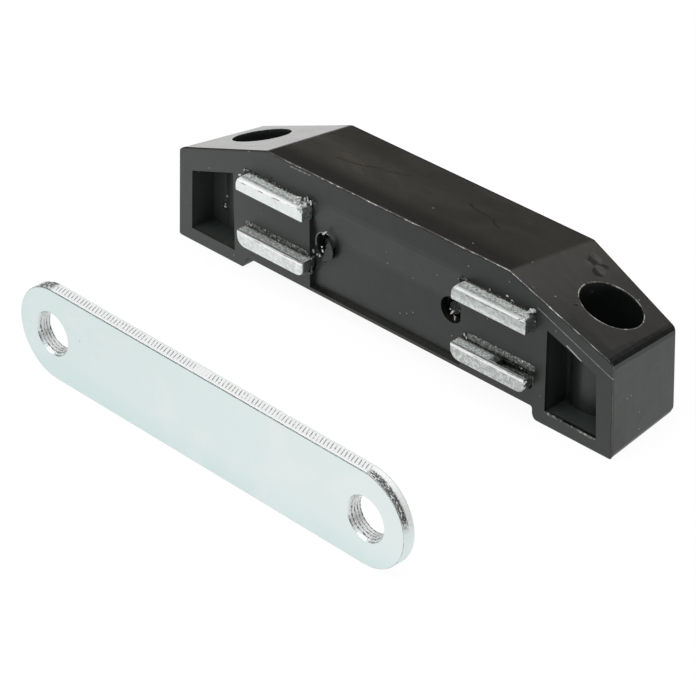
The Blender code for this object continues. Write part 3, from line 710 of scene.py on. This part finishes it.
class StrikeSpot:
    """Where a point of the strike plate lies: along it, through it, up it and round its ends."""

    def __init__(self, net, place):
        self.flat = net.turned(place, location=STRIKE_OFFSET, rotation=(0, 0, -STRIKE_TURN))
        self.along, self.through, self.up = net.parts(self.flat)
        self.reach = abs(self.along)
        past = net.most(self.reach - STRIKE_STRAIGHT, 0.0)
        self.rim = net.length(past, self.up) - STRIKE_RADIUS
        self.edge = net.step(self.rim, -0.12 * MM, -0.04 * MM)
        self.turn = net.math("ARCTAN2", self.up, past)
        self.straight = net.step(past, 1.5 * MM, 0.0)


def sheared_edge(net, spot):
    """Marks the short slanting cuts along the plate's edge and the torn zinc round its ends."""
    wobble = net.grain(spot.flat, 300, 2) * 0.5
    ticks = (spot.along + spot.through * TICK_LEAN) * (1 / MM) + wobble
    ticks = net.math("SINE", ticks * (2 * math.pi / TICK_PITCH))
    depth = net.step(spot.through, 0.5 * MM, 0.9 * MM) * net.step(spot.through, 2.7 * MM, 2.2 * MM)
    cut = net.step(ticks, 0.45, 1.0) * depth
    gaps = net.step(net.grain(net.turned(spot.flat, scale=(1.0, 0.3, 1.0)), 130, 2, 0.6), 0.34, 0.42)
    gaps = gaps * net.step(net.grain(spot.flat, 1500, 2, 0.6), 0.3, 0.5)
    speckle = net.grain(net.turned(spot.flat, scale=(1.0, 2.0, 1.0)), 1500, 3, 0.75)
    right = spot.along > 0.0
    torn = net.step(speckle, 0.41, 0.5) * (1 - spot.straight) * net.step(spot.turn, 0.1, 0.4)
    torn = torn * net.step(spot.through - (1 - right) * 9 * MM, 1.8 * MM, 1.3 * MM)
    torn = torn * net.most(right, net.step(spot.turn, 0.9, 1.2))
    return net.most(cut * gaps * spot.straight * 0.8, torn)


def torn_holes(net, spot):
    """Marks the walls of the plate's two holes, and the rings of torn zinc on them."""
    ring = net.length(spot.reach - STRIKE_HOLE_X, spot.up)
    wall = net.step(ring, STRIKE_HOLE_RADIUS + 0.55 * MM, STRIKE_HOLE_RADIUS + 0.35 * MM)
    rings = spot.through * (2 * math.pi / TEAR_PITCH) + net.grain(spot.flat, 600, 2) * 3.0
    rings = net.math("SINE", rings)
    jagged = net.step(net.grain(spot.flat, 1700, 3, 0.75), 0.48, 0.55)
    lower = net.step(spot.up, 2.0 * MM, -0.5 * MM)
    cracks = net.most(net.step(rings, 0.3, 0.7) * jagged, net.step(rings, 0.85, 0.97) * 0.6)
    return wall, wall * cracks * (lower * 0.7 + 0.3)


def strike_face(net, spot, cloud, finish):
    """Colours the plate's blue-white face, with a teal lower part, paler clouds and small dark dots."""
    light = net.step(spot.along, -60 * MM, 80 * MM)
    base = net.mix(light * 0.55 + cloud * 0.25, finish.bright_zinc, (0.80, 0.865, 0.855))
    teal = net.step(spot.up, -3.0 * MM, -10.0 * MM) * net.step(cloud, 0.35, 0.6)
    base = net.mix(teal * 0.45, base, (0.60, 0.77, 0.755))
    tint = net.step(net.grain(spot.flat, 75, 2, 0.5, 1.0), 0.48, 0.75)
    base = net.mix(tint * 0.3, base, (0.86, 0.86, 0.87))
    dots = net.specks(spot.flat, 330, 0.1, 0.12)
    return net.mix(dots * 0.5, base, (0.4, 0.43, 0.42))


def strike_material(finish):
    """Bright blue-white zinc, cloudy on its face, sheared along its edge and torn in its holes."""
    material, net = new_material("strike_zinc")
    spot = StrikeSpot(net, net.place())
    cloud = net.grain(spot.flat, 30, 3, 0.5, 0.6)
    fine = net.grain(spot.flat, 1900, 3, 0.6)
    base = strike_face(net, spot, cloud, finish)
    wall, fracture = torn_holes(net, spot)
    side = spot.edge * net.most(spot.straight, net.step(spot.turn, 0.0, 0.5))
    base = net.mix(net.most(side, wall * 0.8), base, (0.97, 0.985, 0.975))
    nose = net.step(spot.through, 0.22 * MM, 0.1 * MM) * net.step(spot.rim, -0.2 * MM, -0.1 * MM)
    nose = nose * (net.step(net.grain(spot.flat, 500, 2), 0.35, 0.55) * 0.7 + 0.3)
    dark = net.most(spot.edge * sheared_edge(net, spot), fracture, nose * 0.6)
    base = net.mix(dark * 0.95, base, (0.04, 0.045, 0.042))
    rough = 0.24 + cloud * 0.08 + fine * 0.05 + spot.edge * 0.16
    metal = 1 - side * 0.8 - wall * 0.75
    height = cloud * 0.4 + fine * 0.1 - dark * 0.9
    net.finish(base_color=base, metallic=metal, roughness=rough, normal=net.bump(height, 0.05 * MM))
    return material


def screw_material(name="dark_screw_steel", shine=0.3):
    """Black oiled steel of the cover screws, bright where it is rubbed."""
    material, net = new_material(name)
    place = net.place()
    grime = net.grain(place, 900, 3, 0.6)
    base = net.mix(grime, (0.006, 0.007, 0.007), (0.03, 0.032, 0.032))
    rubbed = net.step(net.grain(place, 1700, 3, 0.7), 0.62, 0.68)
    base = net.mix(rubbed * shine, base, (0.8, 0.82, 0.81))
    net.finish(base_color=base, metallic=1.0, roughness=0.18 + grime * 0.25,
               normal=net.bump(grime, 0.05 * MM))
    return material


def ferrite_material():
    """Sintered ferrite: dark, dry and faintly grained."""
    material, net = new_material("sintered_ferrite")
    place = net.place()
    grain = net.grain(place, 1400, 4, 0.7)
    base = net.mix(grain, (0.05, 0.05, 0.055), (0.12, 0.12, 0.125))
    net.finish(base_color=base, roughness=0.6 + grain * 0.25, normal=net.bump(grain, 0.05 * MM))
    return material


def chip_material():
    """Bright torn zinc."""
    material, net = new_material("torn_zinc")
    place = net.place()
    grain = net.grain(place, 2200, 3, 0.7)
    base = net.mix(net.step(grain, 0.4, 0.6), (0.45, 0.47, 0.46), (0.95, 0.96, 0.95))
    net.finish(base_color=base, metallic=0.4, roughness=0.2 + grain * 0.2, normal=net.bump(grain, 0.05 * MM))
    return material


def blister_material():
    """Glossy black drops of plastic."""
    material, net = new_material("glossy_drop")
    grain = net.grain(net.place(), 600, 2, 0.5)
    base = net.mix(grain, (0.012, 0.013, 0.012), (0.03, 0.031, 0.03))
    net.finish(base_color=base, roughness=0.06 + grain * 0.06, normal=net.bump(grain, 0.03 * MM), ior=2.6)
    return material


def flash_material(name="plastic_flash", dark=(0.016, 0.016, 0.015), pale=(0.14, 0.14, 0.13), share=0.3):
    """Rough smeared plastic with dust, round the pole plates."""
    material, net = new_material(name)
    place = net.place()
    lumps = net.grain(place, 1300, 4, 0.7)
    base = net.mix(net.step(lumps, 0.4, 0.68), dark, pale)
    bits = net.specks(place, 1900, 0.42, share)
    base = net.mix(bits * 0.85, base, (0.75, 0.76, 0.72))
    net.finish(base_color=base, roughness=0.42 + lumps * 0.2, normal=net.bump(lumps, 0.12 * MM))
    return material


# Pieces

def pole_places():
    """Yields each pole plate's name, its side and its middle height."""
    yield "upper_left", -1, UPPER_Z
    yield "upper_right", 1, UPPER_Z
    yield "lower_left", -1, LOWER_LEFT_Z
    yield "lower_right", 1, LOWER_RIGHT_Z


def ragged(point, scale, seed):
    """Returns a steady jitter between -1 and 1 for a point."""
    return noise.noise(point * scale + Vector((seed, 0.0, 0.0)))


def flash_collar(bm, side, height, sizes, seed):
    """Shapes one ragged collar of flash round a pole plate: a rounded frame, raised and frayed."""
    turn = Matrix.Rotation(math.radians(90), 4, "X")
    centre = Vector((side * POLE_X, FRONT_Y + FLASH_SINK, height))
    grid = bmesh.ops.create_grid(bm, x_segments=1, y_segments=1, size=0.5)["verts"]
    spread = 2 * sizes.flash_width - FLASH_LAP
    bmesh.ops.scale(bm, verts=grid, vec=(POLE_LENGTH + spread, POLE_THICKNESS + spread, 1.0))
    bmesh.ops.rotate(bm, verts=grid, cent=(0, 0, 0), matrix=turn)
    bmesh.ops.translate(bm, verts=grid, vec=centre)
    bmesh.ops.bevel(bm, geom=grid, affect="VERTICES", offset=FLASH_CORNER, segments=4, profile=0.5,
                    material=-1)
    long_edges = [edge for edge in bm.edges if edge.calc_length() > POLE_LENGTH / 2]
    bmesh.ops.subdivide_edges(bm, edges=long_edges, cuts=LONG_CUTS)
    end_edges = [edge for edge in bm.edges if edge.calc_length() > FLASH_CORNER]
    bmesh.ops.subdivide_edges(bm, edges=end_edges, cuts=END_CUTS)
    inner = list(bm.faces)
    ring = []
    for _ in range(FLASH_RINGS):
        ring += bmesh.ops.inset_region(bm, faces=inner, thickness=sizes.flash_width / FLASH_RINGS,
                                       use_boundary=True)["faces"]
    bmesh.ops.delete(bm, geom=inner, context="FACES_ONLY")
    raised = bmesh.ops.extrude_face_region(bm, geom=ring)
    tops = [item for item in raised["geom"] if isinstance(item, bmesh.types.BMVert)]
    for vert in tops:
        lift = 0.45 + 0.95 * ragged(vert.co, 1500, seed)
        vert.co.y -= sizes.flash_height * max(lift, 0.08)
    for vert in bm.verts:
        away = Vector((vert.co.x - centre.x, 0, vert.co.z - centre.z))
        if abs(away.x) > POLE_LENGTH / 2 + FRAY_START or abs(away.z) > POLE_THICKNESS / 2 + FRAY_START:
            vert.co += away.normalized() * FRAY * ragged(vert.co, 1600, seed + 7)


def smear_strip(bm, start, end, low, high, seed):
    """Shapes a thin ragged strip of smeared plastic on the front face."""
    length = end - start
    grid = bmesh.ops.create_grid(bm, x_segments=90, y_segments=5, size=0.5)["verts"]
    for vert in grid:
        along, across = vert.co.x + 0.5, vert.co.y + 0.5
        x = start + length * along
        rise = low + (high - low) * across
        jitter = FRAY * ragged(Vector((x, across * 0.6 * MM, 0)), 1500, seed)
        bulge = 4 * across * (1 - across) * min(1.0, 12 * along, 12 * (1 - along))
        lump = 0.5 + 0.5 * ragged(Vector((x, rise, 0)), 1900, seed + 3)
        vert.co = Vector((x, FRONT_Y + SMEAR_SINK - SMEAR_RISE * bulge * lump, rise + jitter))
    thicken(bm, SMEAR_THICKNESS)


def thicken(bm, depth):
    """Gives a sheet on the front face its thickness, towards the back."""
    raised = bmesh.ops.extrude_face_region(bm, geom=list(bm.faces))["geom"]
    for item in raised:
        if isinstance(item, bmesh.types.BMVert):
            item.co.y += depth


def build_flash(sizes, material):
    """Adds the flash round the four pole plates, and the smears above the lower two."""
    for seed, (name, side, height) in enumerate(pole_places()):
        bm = bmesh.new()
        flash_collar(bm, side, height, sizes, seed * 3.7)
        new_piece("flash_" + name, bm, material)
    for name, strip in SMEARS.items():
        bm = bmesh.new()
        smear_strip(bm, *strip, 5.0)
        new_piece("smear_" + name, bm, flash_material("smear_" + name, *SMEAR_TONES[name], 0.36))


def chip(bm, place, size, seed):
    """Adds one small torn chip."""
    verts = bmesh.ops.create_icosphere(bm, subdivisions=2, radius=size / 2)["verts"]
    bmesh.ops.scale(bm, verts=verts, vec=(1.35, 0.95, 0.6))
    for vert in verts:
        vert.co *= 1 + 0.45 * ragged(vert.co, 2.2 / size, seed * 5.1)
    turn = Euler((seed * 1.7, seed * 2.9, seed * 0.7)).to_matrix()
    bmesh.ops.rotate(bm, verts=verts, cent=(0, 0, 0), matrix=turn)
    bmesh.ops.translate(bm, verts=verts, vec=place)


def build_chips(name, places, material):
    """Makes one piece of several chips, whose places and sizes are in millimetres."""
    bm = bmesh.new()
    for seed, (x, y, z, size) in enumerate(places):
        chip(bm, Vector((x, y, z)) * MM, size * MM, seed + 1)
    new_piece(name, bm, material, smooth=False)


def build_crumbs(material):
    """Strews fine crumbs of plastic along the upper side of each pole plate."""
    for name, side, height in pole_places():
        places = []
        for index in range(CRUMB_COUNT):
            u = 0.5 + 0.5 * noise.noise(Vector((index * 3.1, side * 7.0, height * 900)))
            v = noise.noise(Vector((index * 5.3, side * 3.0, height * 700)))
            x = side * POLE_X / MM - CRUMB_RUN / 2 + CRUMB_RUN * (index + u) / (CRUMB_COUNT + 0.5)
            z = height / MM + 1.95 + 0.5 * abs(v) + 0.25 * u
            places.append((x, FRONT_Y / MM - 0.12, z, 0.22 + 0.3 * abs(v)))
        build_chips("crumbs_" + name, places, material)


def build_blisters(material):
    """Adds the two glossy drops on the back wall of the left pocket."""
    bm = bmesh.new()
    for x, z, size in BLISTERS:
        drop = bmesh.ops.create_uvsphere(bm, u_segments=24, v_segments=12, radius=size * MM / 2)["verts"]
        bmesh.ops.scale(bm, verts=drop, vec=(1.0, 0.7, 1.15))
        bmesh.ops.translate(bm, verts=drop, vec=(x * MM, FRONT_Y + POCKET_WALL, z * MM))
    new_piece("pocket_blisters", bm, material)


def build_thread(name, side, material):
    """Winds the thread round one cover screw's tip."""
    bm = bmesh.new()
    start = FRONT_Y + THREAD_START
    corners = ((THREAD_ROOT, 0.0), (THREAD_CREST, THREAD_FOOT / 2), (THREAD_ROOT, THREAD_FOOT))
    profile = [bm.verts.new((side * FRONT_HOLE_X + radius, start + y, FRONT_HOLE_Z))
               for radius, y in corners]
    face = bm.faces.new(profile)
    bmesh.ops.spin(bm, geom=[*bm.verts, *bm.edges, face], cent=(side * FRONT_HOLE_X, start, FRONT_HOLE_Z),
                   axis=(0, 1, 0), dvec=(0, THREAD_PITCH / STEPS_PER_TURN, 0),
                   angle=THREAD_TURNS * 2 * math.pi, steps=int(THREAD_TURNS * STEPS_PER_TURN),
                   use_merge=False)
    new_piece("screw_thread_" + name, bm, material, smooth=False)


def build_film(material):
    """Smears plastic over the right part of the left front hole."""
    bm = bmesh.new()
    reach = FRONT_HOLE_RADIUS + FILM_MARGIN
    grid = bmesh.ops.create_grid(bm, x_segments=20, y_segments=36, size=0.5)["verts"]
    for vert in grid:
        across, rise = vert.co.x + 0.5, vert.co.y * 2 * reach
        outer = math.sqrt(max(reach * reach - rise * rise, 0.0))
        inner = FILM_EDGE + rise * FILM_LEAN + 0.35 * MM * ragged(Vector((0, 0, rise)), 1400, 2.0)
        inner = max(min(inner, outer), -outer)
        x = inner + (outer - inner) * across
        dish = 0.12 * MM * math.sin(math.pi * across) + 0.06 * MM * ragged(Vector((x, 0, rise)), 1800, 4.0)
        vert.co = Vector((x - FRONT_HOLE_X, FRONT_Y - 0.015 * MM + dish, rise + FRONT_HOLE_Z))
    bmesh.ops.remove_doubles(bm, verts=bm.verts, dist=0.01 * MM)
    thicken(bm, FILM_THICKNESS)
    new_piece("hole_film_left", bm, material)


# Stage

def build_floor():
    """Lays a pale floor that a camera and a mirror see as white, with a faint shadow left."""
    bm = bmesh.new()
    bmesh.ops.create_grid(bm, x_segments=1, y_segments=1, size=FLOOR_HALF)
    mesh = bpy.data.meshes.new("floor")
    bm.to_mesh(mesh)
    bm.free()
    floor = bpy.data.objects.new("floor", mesh)
    bpy.context.scene.collection.objects.link(floor)
    material, net = new_material("pale_floor")
    rays = net.add("ShaderNodeLightPath")
    seen = net.most(*(Value(net, rays.outputs[ray]) * WHITE_SHARE
                      for ray in ("Is Camera Ray", "Is Glossy Ray", "Is Transmission Ray")))
    paper = net.get("ShaderNodeBsdfDiffuse", inputs={"Color": (0.82, 0.82, 0.82, 1.0)})
    white = net.get("ShaderNodeEmission", inputs={"Color": (1, 1, 1, 1), "Strength": WHITE_STRENGTH})
    shader = net.get("ShaderNodeMixShader", inputs={0: seen, 1: paper, 2: white})
    net.add("ShaderNodeOutputMaterial", inputs={"Surface": shader})
    mesh.materials.append(material)


def build_room(strength):
    """Lights the scene softly from above and hardly from the horizon; the camera sees plain white."""
    world = bpy.data.worlds.new("studio")
    bpy.context.scene.world = world
    world.use_nodes = True
    net = Net(world.node_tree)
    rays = net.add("ShaderNodeLightPath")
    seen = Value(net, rays.outputs["Is Camera Ray"])
    height = net.parts(net.get("ShaderNodeTexCoord", output="Generated"))[2]
    bright = net.step(height, SKY_LOW, SKY_HIGH) * (strength - HORIZON_LIGHT) + HORIZON_LIGHT
    light = net.get("ShaderNodeBackground", inputs={"Color": (1, 1, 1, 1), "Strength": bright})
    white = net.get("ShaderNodeBackground", inputs={"Color": (1, 1, 1, 1), "Strength": 1.0})
    shader = net.get("ShaderNodeMixShader", inputs={0: seen, 1: light, 2: white})
    net.add("ShaderNodeOutputWorld", inputs={"Surface": shader})


def build_lamp(name, power):
    """Hangs one large soft square lamp that faces the origin."""
    place, size, tint = LAMPS[name]
    data = bpy.data.lights.new(name, "AREA")
    data.shape = "SQUARE"
    data.size = size
    data.energy = power
    data.color = tint
    lamp = bpy.data.objects.new(name, data)
    lamp.visible_camera = False
    lamp.location = place
    lamp.rotation_euler = (-Vector(place)).to_track_quat("-Z", "Y").to_euler()
    bpy.context.scene.collection.objects.link(lamp)


def build_camera():
    """Stands the camera where the photograph was taken from."""
    back = Vector((math.sin(CAMERA_AZIMUTH) * math.cos(CAMERA_ELEVATION),
                   -math.cos(CAMERA_AZIMUTH) * math.cos(CAMERA_ELEVATION),
                   math.sin(CAMERA_ELEVATION)))
    right = (-back).cross(Vector((0, 0, 1))).normalized()
    up = back.cross(right)
    axes = Matrix((right, up, back)).transposed() @ Matrix.Rotation(CAMERA_ROLL, 3, "Z")
    data = bpy.data.cameras.new("camera")
    data.lens = LENS
    data.sensor_width = 36.0
    data.shift_x = SHIFT_X
    data.shift_y = SHIFT_Y
    camera = bpy.data.objects.new("camera", data)
    offset = axes @ Vector((CAMERA_RIGHT, CAMERA_UP, CAMERA_DISTANCE))
    camera.matrix_world = Matrix.Translation(offset + Vector((0, FRONT_Y, 0))) @ axes.to_4x4()
    bpy.context.scene.collection.objects.link(camera)
    bpy.context.scene.camera = camera


class CATCH_OT_stage(bpy.types.Operator):
    """Set the floor, the studio light and the camera"""
    bl_idname = "catch.stage"
    bl_label = "Stage"

    def execute(self, context):
        stage = context.scene.catch_stage
        context.scene.view_settings.view_transform = "Standard"
        build_floor()
        build_room(stage.room)
        build_lamp("key_lamp", stage.key)
        build_lamp("fill_lamp", stage.fill)
        build_lamp("top_lamp", stage.top)
        build_camera()
        return {"FINISHED"}


class CATCH_OT_housing(bpy.types.Operator):
    """Finish the housing and its back cover in black plastic"""
    bl_idname = "catch.housing"
    bl_label = "Housing"

    def execute(self, context):
        finish = context.scene.catch_finish
        dress("housing", housing_material(finish))
        dress("back_cover", cover_material(finish))
        return {"FINISHED"}


class CATCH_OT_poles(bpy.types.Operator):
    """Finish the pole plates in zinc and the magnets in ferrite"""
    bl_idname = "catch.poles"
    bl_label = "Pole Plates and Magnets"

    def execute(self, context):
        zinc = pole_material(context.scene.catch_finish)
        for name, _, _ in pole_places():
            dress("pole_plate_" + name, zinc)
        ferrite = ferrite_material()
        for name in ("magnet_left", "magnet_right"):
            dress(name, ferrite)
        return {"FINISHED"}


class CATCH_OT_flash(bpy.types.Operator):
    """Add the ragged flash, smears, chips and crumbs round the pole plates"""
    bl_idname = "catch.flash"
    bl_label = "Moulding Flash"

    def execute(self, context):
        plastic = flash_material()
        build_flash(context.scene.catch_sizes, plastic)
        build_crumbs(flash_material("plastic_crumbs", (0.02, 0.02, 0.018), (0.34, 0.35, 0.33), 0.45))
        zinc = chip_material()
        for name, places in ZINC_CHIPS.items():
            build_chips("chips_" + name, places, zinc)
        build_chips("black_crumbs", BLACK_CRUMBS, plastic)
        build_blisters(blister_material())
        build_film(bpy.data.materials["moulded_black_plastic"])
        return {"FINISHED"}


class CATCH_OT_screws(bpy.types.Operator):
    """Finish the screws of the back cover and wind the threads round their tips"""
    bl_idname = "catch.screws"
    bl_label = "Cover Screws"

    def execute(self, context):
        steel = screw_material()
        rubbed = screw_material("rubbed_thread", 1.0)
        zinc = chip_material()
        for name, side in (("left", -1), ("right", 1)):
            dress("cover_screw_" + name, steel)
            build_thread(name, side, rubbed)
            # Bright chips as painted glints in the front holes.
            build_chips("glints_" + name, GLINTS[name], zinc)
        return {"FINISHED"}


class CATCH_OT_strike(bpy.types.Operator):
    """Finish the strike plate in bright zinc"""
    bl_idname = "catch.strike"
    bl_label = "Strike Plate"

    def execute(self, context):
        dress("strike_plate", strike_material(context.scene.catch_finish))
        return {"FINISHED"}


OPERATORS = (CATCH_OT_stage, CATCH_OT_housing, CATCH_OT_poles, CATCH_OT_flash, CATCH_OT_screws,
             CATCH_OT_strike)


class CATCH_PT_panel(bpy.types.Panel):
    """Lists the catch's pieces, sizes and finishes"""
    bl_idname = "CATCH_PT_panel"
    bl_label = "Magnetic Catch"
    bl_space_type = "VIEW_3D"
    bl_region_type = "UI"
    bl_category = "Catch"

    def draw(self, context):
        layout = self.layout
        for operator in OPERATORS:
            layout.operator(operator.bl_idname)
        for group in (context.scene.catch_sizes, context.scene.catch_finish, context.scene.catch_stage):
            for name in group.__annotations__:
                layout.prop(group, name)


CLASSES = (CatchSizes, CatchFinish, CatchStage, *OPERATORS, CATCH_PT_panel)


def register():
    for item in CLASSES:
        bpy.utils.register_class(item)
    bpy.types.Scene.catch_sizes = PointerProperty(type=CatchSizes)
    bpy.types.Scene.catch_finish = PointerProperty(type=CatchFinish)
    bpy.types.Scene.catch_stage = PointerProperty(type=CatchStage)


def unregister():
    del bpy.types.Scene.catch_stage
    del bpy.types.Scene.catch_finish
    del bpy.types.Scene.catch_sizes
    for item in reversed(CLASSES):
        bpy.utils.unregister_class(item)


def main():
    """Builds everything in order."""
    register()
    bpy.ops.catch.stage()
    bpy.ops.catch.housing()
    bpy.ops.catch.poles()
    bpy.ops.catch.flash()
    bpy.ops.catch.screws()
    bpy.ops.catch.strike()


if __name__ == "__main__":
    main()
